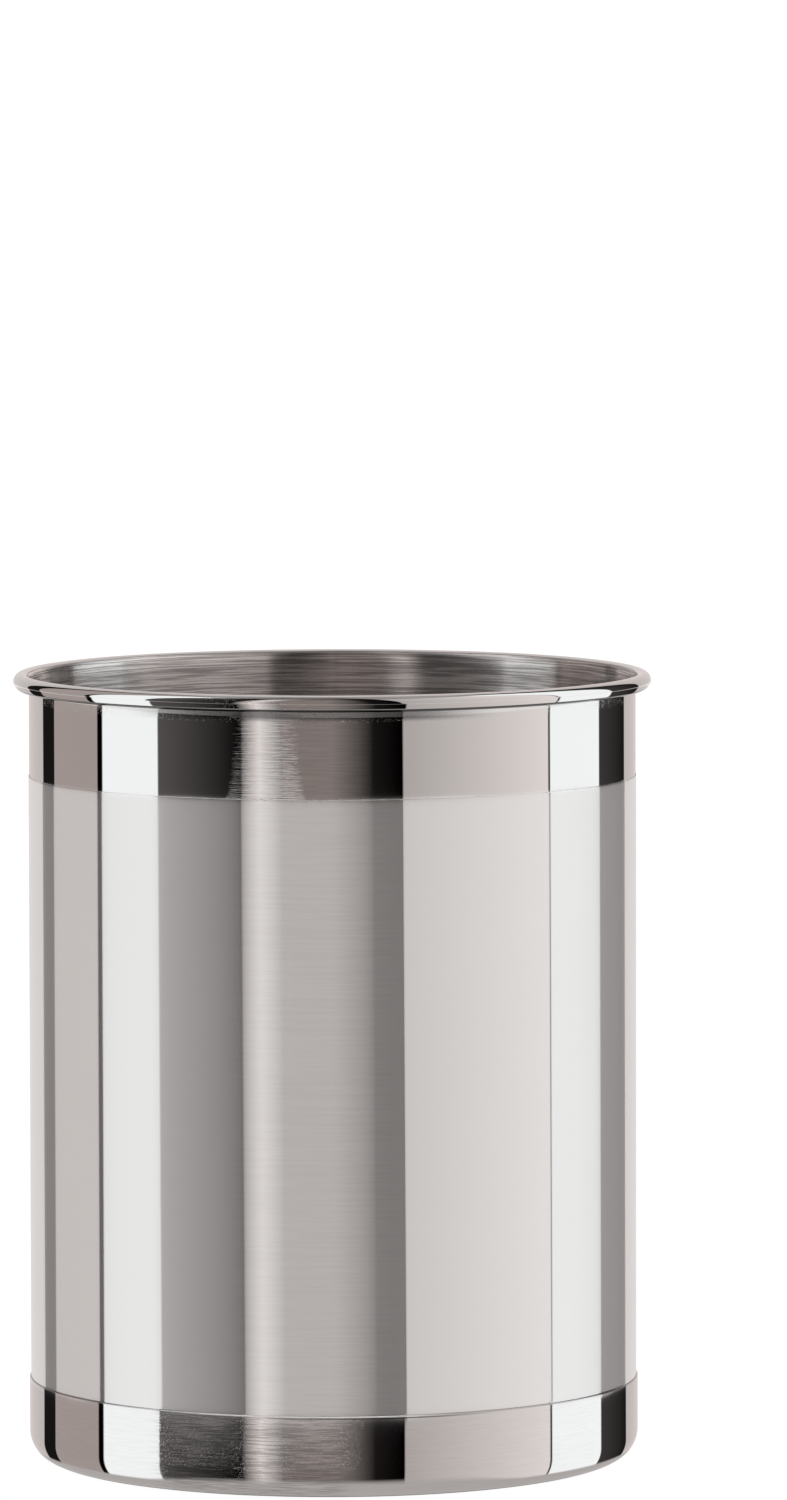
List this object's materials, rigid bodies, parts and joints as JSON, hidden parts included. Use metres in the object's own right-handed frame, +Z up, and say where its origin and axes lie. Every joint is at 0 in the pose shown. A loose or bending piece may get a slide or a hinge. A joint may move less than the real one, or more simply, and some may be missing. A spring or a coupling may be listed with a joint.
{
  "type": "utensil crock",
  "caption": "Open round metal crock with a curled rim, a satin middle band and a drawn base pan, for holding kitchen utensils upright.",
  "frame": {"origin": "centre of the face that the crock stands on", "axes": "+Z up along the crock's axis towards the open mouth, -Y towards the front, +Y towards the seams at the back"},
  "size_m": [0.1468, 0.1468, 0.182],
  "materials": {
    "polished_steel": "mirror polished outside and on the rim, circumferential brushing inside",
    "satin_steel": "pale fine satin, softly reflective",
    "brushed_steel": "circumferentially brushed satin"
  },
  "bodies": {
    "root": {"body_tube": "polished_steel", "satin_sleeve": "satin_steel", "base_pan": "brushed_steel"}
  },
  "joints": []
}
